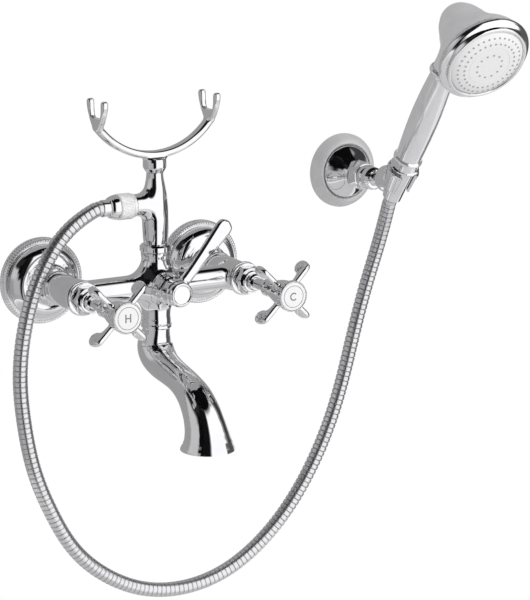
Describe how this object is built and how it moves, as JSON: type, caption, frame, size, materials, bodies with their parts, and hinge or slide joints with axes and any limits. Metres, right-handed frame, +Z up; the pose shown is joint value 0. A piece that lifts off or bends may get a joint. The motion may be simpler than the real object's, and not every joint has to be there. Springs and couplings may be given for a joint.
{
  "type": "bath shower mixer",
  "caption": "Wall-mounted bath shower mixer with cross handles, diverter lever, curved spout, handset cradle, ribbed hose and a handset on a wall bracket.",
  "frame": {"origin": "midway between the two inlet axes, on the wall plane", "axes": "+X to the right along the wall, +Y into the wall, +Z up"},
  "size_m": [0.3898, 0.2687, 0.5077],
  "materials": {
    "chrome": "polished chrome plate on brass",
    "hose_metal": "polished wound metal strip",
    "brass": "machined brass",
    "ceramic": "ground ceramic",
    "rubber": "matt rubber",
    "enamel": "white enamel",
    "white_plastic": "gloss white",
    "steel": "stainless steel"
  },
  "bodies": {
    "fixed": {"inlet_tail_left": "brass", "inlet_tail_right": "brass", "union_nut_left": "chrome", "union_nut_right": "chrome", "union_washers": "rubber", "wall_flange_left": "chrome", "wall_flange_right": "chrome", "mixer_body": "chrome", "seat_seals": "rubber", "fixed_discs": "ceramic", "headwork_left": "chrome", "headwork_right": "chrome", "diverter_bush": "chrome", "riser_collar": "chrome", "riser": "chrome", "riser_ring": "rubber", "cradle": "chrome", "cradle_screw": "steel", "spout_collar": "chrome", "spout_nipple": "brass", "spout": "chrome", "flow_straightener": "white_plastic", "hose_nut": "chrome", "hose_washer": "rubber", "hose_ferrule": "chrome", "shower_hose": "hose_metal", "bracket_plate": "steel", "bracket_screws": "steel", "bracket_flange": "chrome", "bracket_socket": "chrome", "ball_pad": "white_plastic", "ball_ring": "chrome"},
    "hot_tap": {"spindle_left": "brass", "moving_disc_left": "ceramic", "spindle_ring_left": "rubber", "cross_handle_left": "chrome", "index_disc_left": "enamel", "handle_screw_left": "steel"},
    "cold_tap": {"spindle_right": "brass", "moving_disc_right": "ceramic", "spindle_ring_right": "rubber", "cross_handle_right": "chrome", "index_disc_right": "enamel", "handle_screw_right": "steel"},
    "diverter": {"diverter_rotor": "brass", "diverter_ring": "rubber", "diverter_lever": "chrome", "lever_cap": "chrome", "lever_screw": "steel"},
    "holder": {"handset_holder": "chrome"},
    "handset": {"cone_nut": "chrome", "handset_handle": "chrome", "handset_head": "chrome", "bezel_ring": "chrome", "spray_face": "white_plastic", "spray_nozzles": "rubber", "head_seal": "rubber"}
  },
  "joints": [
    {"name": "hot_turn", "type": "hinge", "parent": "fixed", "child": "hot_tap", "pos_m": [-0.075, 0, 0], "axis": [0, -1, 0], "range_deg": [0, 90]},
    {"name": "cold_turn", "type": "hinge", "parent": "fixed", "child": "cold_tap", "pos_m": [0.075, 0, 0], "axis": [0, -1, 0], "range_deg": [-90, 0]},
    {"name": "diverter_turn", "type": "hinge", "parent": "fixed", "child": "diverter", "pos_m": [0, 0, 0], "axis": [0, -1, 0], "range_deg": [0, 84]},
    {"name": "holder_tilt", "type": "hinge", "parent": "fixed", "child": "holder", "pos_m": [0.222, -0.053, 0.067], "axis": [1, 0, 0], "range_deg": [-20, 20], "deforming": ["shower_hose"]},
    {"name": "handset_lift", "type": "slide", "parent": "holder", "child": "handset", "axis": [0, -0.5446, 0.8387], "range_m": [0, 0.045], "deforming": ["shower_hose"]}
  ]
}
